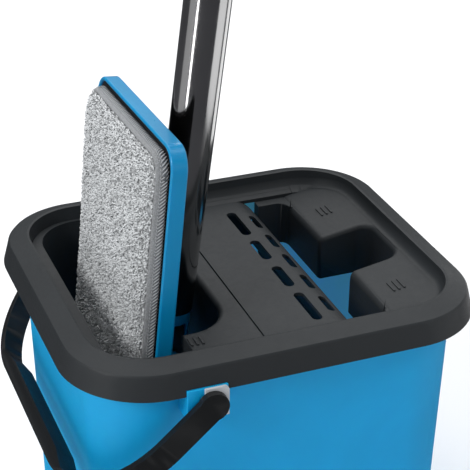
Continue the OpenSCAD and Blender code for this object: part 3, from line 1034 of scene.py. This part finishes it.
    @staticmethod
    def shade(draw: random.Random) -> float:
        """Draws the shade of one loop: mostly pale yarn, with mid and dark ones between.

        Args:
            draw: Source of the random numbers.

        Returns:
            The shade, from 0 for the dark yarn to 1 for the pale one.
        """
        pick = draw.random()
        if pick < 0.62:
            return draw.uniform(0.72, 1.0)
        if pick < 0.88:
            return draw.uniform(0.38, 0.62)
        return draw.uniform(0.05, 0.3)

    def binding(self) -> Piece:
        """Builds the tape that is sewn round the pad's edge.

        Returns:
            The tape in the plate's frame.
        """
        section = [(self.back - 0.0002, 0.0012), (self.back - 0.0004, -0.0004),
                   (self.back - 0.0030, -0.0010), (self.front + self.tape + 0.0020, -0.0009),
                   (self.front + self.tape, -0.0003), (self.front + self.tape - 0.0006, 0.0008),
                   (self.front + self.tape + 0.0004, 0.0018), (self.front + self.tape + 0.0030, 0.0022)]
        rings = [[(x, y, z) for y, z in self.outline(inset, 16)] for x, inset in section]
        n, m = len(rings[0]), len(rings)
        faces = []
        for k in range(m):
            for i in range(n):
                j = (i + 1) % n
                l = (k + 1) % m
                faces.append((k * n + i, l * n + i, l * n + j, k * n + j))
        piece = new_object("pad_binding", [p for ring in rings for p in ring], faces)
        face_outward(piece)
        refine(piece)
        return piece

    def along(self, inset: float, place: float) -> tuple[float, float]:
        """Gives the point at a distance round the pad's outline.

        Args:
            inset: Distance inside the edge.
            place: Share of the way round, from 0 to 1.

        Returns:
            Its place across and along the pad.
        """
        points = self.outline(inset, 16)
        outer = self.outline(0, 16)
        steps = [math.dist(outer[i], outer[(i + 1) % len(outer)]) for i in range(len(outer))]
        left = (place % 1) * sum(steps)
        for i, step in enumerate(steps):
            if left <= step:
                a, b = points[i], points[(i + 1) % len(points)]
                t = left / max(step, 1e-9)
                return a[0] + t * (b[0] - a[0]), a[1] + t * (b[1] - a[1])
            left -= step
        return points[0]

    def stitches(self) -> Piece:
        """Sews slanted overlock stitches over the binding's outer side and a row along its foot.

        Returns:
            One mesh that holds every stitch.
        """
        outer = self.outline(0, 16)
        round_length = sum(math.dist(outer[i], outer[(i + 1) % len(outer)])
                           for i in range(len(outer)))
        count = int(round_length / self.stitch_pitch)
        lean = self.stitch_lean / round_length
        path = [(self.back - 0.0004, -0.0009, 0.0), (self.back - 0.0016, -0.0014, 0.35),
                (self.back - 0.0034, -0.0014, 0.7), (self.back - 0.0048, -0.0009, 1.0)]
        verts: list[Vector] = []
        faces: list[tuple[int, ...]] = []
        for k in range(count):
            spots = []
            for x, inset, t in path:
                y, z = self.along(inset, k / count + lean * t)
                spots.append(Vector((x, y, z)))
            self.thread(verts, faces, spots, self.stitch_radius)
        for k in range(count):
            spots = []
            for t in (0.15, 0.5, 0.85):
                y, z = self.along(-0.0010 - (0.0004 if t == 0.5 else 0), (k + t) / count)
                spots.append(Vector((self.back - 0.0052, y, z)))
            self.thread(verts, faces, spots, self.row_radius)
        piece = new_object("pad_stitches", verts, faces)
        shade_smooth(piece)
        return piece

    @staticmethod
    def thread(verts: list[Vector], faces: list[tuple[int, ...]], spots: list[Vector],
               radius: float) -> None:
        """Adds one short thread along some spots.

        Args:
            verts: Points so far, which grow.
            faces: Faces so far, which grow.
            spots: Places that the thread passes.
            radius: The thread's radius.
        """
        base, sides = len(verts), 4
        for i, spot in enumerate(spots):
            way = (spots[min(i + 1, len(spots) - 1)] - spots[max(i - 1, 0)]).normalized()
            across = way.orthogonal().normalized()
            up = way.cross(across)
            size = radius * (0.6 if i in (0, len(spots) - 1) else 1)
            for s in range(sides):
                turn = 2 * math.pi * s / sides
                verts.append(spot + across * (size * math.cos(turn)) + up * (size * math.sin(turn)))
        faces += tube_faces(base, len(spots), sides)

    def build(self) -> None:
        """Builds the whole pad."""
        core = self.core()
        piles = [self.pile(core, "pad_pile_upper", Half.UPPER),
                 self.pile(core, "pad_pile_lower", Half.LOWER)]
        dressed = [(core, material_of(PAD_CORE)),
                   (self.binding(), material_of(BINDING)),
                   (self.stitches(), material_of(STITCH))]
        dressed += [(piece, material_of(FINISHES["microfibre"])) for piece in piles]
        for piece, material in dressed:
            piece.data.transform(self.frame_matrix)
            dress(piece, material)
            attach(piece, "plate", "microfibre", *(["microfibre_pad"] if piece is core else []))


@dataclass
class MopHead:
    """The plate with its hook mat and pad."""

    def build(self) -> None:
        """Builds every piece of the mop's head."""
        plate = Softened("mop_plate", "mop_plate_moulding", radius=0.0013, segments=4).build()
        # Kept out of mirrors, so that the pole shows the lamps' streaks and not the plate
        plate.visible_glossy = False
        dress_solids("hook_mat")
        Pad().build()


@dataclass
class Swivel:
    """The two-way swivel between the plate and the pole."""

    def build(self) -> None:
        """Builds every piece of the swivel."""
        for node in ("swivel_base", "cross_block", "pole_socket"):
            Softened(node, f"{node}_moulding", radius=0.0006).build()
        dress_solids("base_screws", "base_pin", "socket_pin")


@dataclass
class Pole:
    """The telescoping pole with its twist lock, grip and hanging cap."""


    def build(self) -> None:
        """Builds every piece of the pole."""
        Softened("lock_sleeve", "lock_sleeve_moulding", radius=0.0006).build()
        Softened("lock_nut", "lock_nut_moulding", radius=0.0005).build()
        Softened("hanging_cap", "hanging_cap_moulding", radius=0.0009).build()
        dress_solids("lower_tube", "upper_tube", "lock_collet", "guide_bush", "hand_grip")


# ---- Studio ----


@dataclass(frozen=True)
class Lamp:
    """One soft box.

    Attributes:
        name: Its name.
        place: Where it hangs.
        size: Width and height, in metres.
        power: Watts.
        aim: What it points at.
        only_glossy: Whether it shows in reflections only.
    """

    name: str
    place: Triple
    size: tuple[float, float]
    power: float
    aim: Triple = (0, 0, 0.22)
    only_glossy: bool = False

    def hang(self) -> None:
        """Adds the lamp to the scene."""
        data = bpy.data.lights.new(self.name, "AREA")
        data.shape = "RECTANGLE"
        data.size, data.size_y = self.size
        data.energy = self.power
        lamp = bpy.data.objects.new(self.name, data)
        lamp.location = self.place
        way = Vector(self.aim) - Vector(self.place)
        lamp.rotation_euler = way.to_track_quat("-Z", "Y").to_euler()
        lamp.visible_diffuse = not self.only_glossy
        bpy.context.scene.collection.objects.link(lamp)


def pole_strip(name: str, x: float, y: float, width: float, power: float) -> Lamp:
    """Gives an upright lamp that only draws a streak on shiny pieces."""
    return Lamp(name, (x, y, 0.55), (width, 1.1), power, (-0.03, 0, 0.55), True)


LAMPS = (
    Lamp("overhead", (0.2, 0.8, 2.3), (2.2, 2.2), 46),
    Lamp("back_soft", (0.7, 2.3, 1.5), (2.4, 1.2), 9),
    Lamp("key_left", (-2.2, -0.8, 1.68), (0.8, 0.8), 36, (-0.05, 0, 0.22)),
    Lamp("front_fill", (0.3, -2.6, 1.2), (1.6, 1.2), 5),
    pole_strip("strip_left", -0.60, -0.26, 0.07, 1.5),
    pole_strip("panel_left", -0.58, 0.02, 0.34, 0.42),
    pole_strip("panel_right", 0.40, -0.26, 0.42, 1.5),
    pole_strip("strip_edge", 0.44, 0.14, 0.24, 1.1),
)


@dataclass
class Studio:
    """Plain pale floor, soft lights and the camera.

    Attributes:
        azimuth: Camera's turn about the bucket, in degrees, towards the wash side.
        elevation: Camera's height angle, in degrees.
        roll: Camera's roll, in degrees.
        distance: Camera's distance from the middle of the rim, in rim widths.
        aside: Camera's shift to its right, in rim widths.
        above: Camera's shift upward, in rim widths.
        lens: Focal length for a 36 mm sensor.
        rim_width: Width of the rim, in metres.
        rim_height: Height of the rim, in metres.
    """

    azimuth: float = -21.690
    elevation: float = 28.221
    roll: float = 0.5415
    distance: float = 3.6342
    aside: float = 0.0077
    above: float = 0.0571
    lens: float = 112.46
    rim_width: float = 0.250
    rim_height: float = 0.215

    def camera(self) -> None:
        """Places the camera and makes it the scene's."""
        az, el, roll = (math.radians(v) for v in (self.azimuth, self.elevation, self.roll))
        back = Vector((math.sin(az) * math.cos(el), -math.cos(az) * math.cos(el), math.sin(el)))
        right = Vector((math.cos(az), math.sin(az), 0))
        up = back.cross(right)
        right2 = right * math.cos(roll) + up * math.sin(roll)
        up2 = up * math.cos(roll) - right * math.sin(roll)
        centre = Vector((0, 0, self.rim_height))
        place = centre + self.rim_width * (back * self.distance + right2 * self.aside
                                           + up2 * self.above)
        turn = Matrix((right2, up2, back)).transposed()
        data = bpy.data.cameras.new("camera")
        data.lens = self.lens
        data.sensor_width = 36
        data.clip_start = 0.05
        data.clip_end = 50
        eye = bpy.data.objects.new("camera", data)
        eye.matrix_world = Matrix.Translation(place) @ turn.to_4x4()
        bpy.context.scene.collection.objects.link(eye)
        bpy.context.scene.camera = eye

    @staticmethod
    def quiet_mirror(sheet: NodeSheet) -> Socket:
        """Gives 1 for rays that left a shiny surface, so the stage can stay dark in reflections."""
        return sheet.node("ShaderNodeLightPath").outputs["Is Glossy Ray"]

    def floor(self) -> None:
        """Lays the floor: white to the eye and dim in reflections."""
        half = 40.0
        floor = new_object("floor", [(-half, -half, 0), (half, -half, 0), (half, half, 0),
                                     (-half, half, 0)], [(0, 1, 2, 3)])
        sheet = NodeSheet("floor_white")
        colour = sheet.blend(self.quiet_mirror(sheet), (0.88, 0.88, 0.88), (0.045, 0.045, 0.05))
        sheet.feed(colour, "Base Color")
        sheet.set("Roughness", 0.9)
        dress(floor, sheet.material)

    def lights(self) -> None:
        """Hangs the soft boxes."""
        for lamp in LAMPS:
            lamp.hang()

    @staticmethod
    def room() -> None:
        """Sets the room's glow, which is dimmer in reflections, and plain colours."""
        world = bpy.data.worlds.new("room")
        world.use_nodes = True
        tree = world.node_tree
        glow = tree.nodes["Background"]
        glow.inputs["Color"].default_value = (0.86, 0.88, 0.92, 1)
        path = tree.nodes.new("ShaderNodeLightPath")
        level = tree.nodes.new("ShaderNodeMapRange")
        level.inputs["To Min"].default_value = 0.52
        level.inputs["To Max"].default_value = 0.08
        tree.links.new(path.outputs["Is Glossy Ray"], level.inputs["Value"])
        tree.links.new(level.outputs["Result"], glow.inputs["Strength"])
        bpy.context.scene.world = world
        bpy.context.scene.view_settings.view_transform = "Standard"

    def build(self) -> None:
        """Builds the studio."""
        self.camera()
        self.floor()
        self.lights()
        self.room()


def main() -> None:
    """Builds the studio and every sub-assembly in order."""
    logging.basicConfig(level=logging.INFO, format="%(name)s: %(message)s")
    for part in (Studio(), Bucket(), WallFillet(), CarryHandle(), MopHead(), Swivel(), Pole()):
        log.info("building %s", type(part).__name__)
        part.build()


if __name__ == "__main__":
    main()
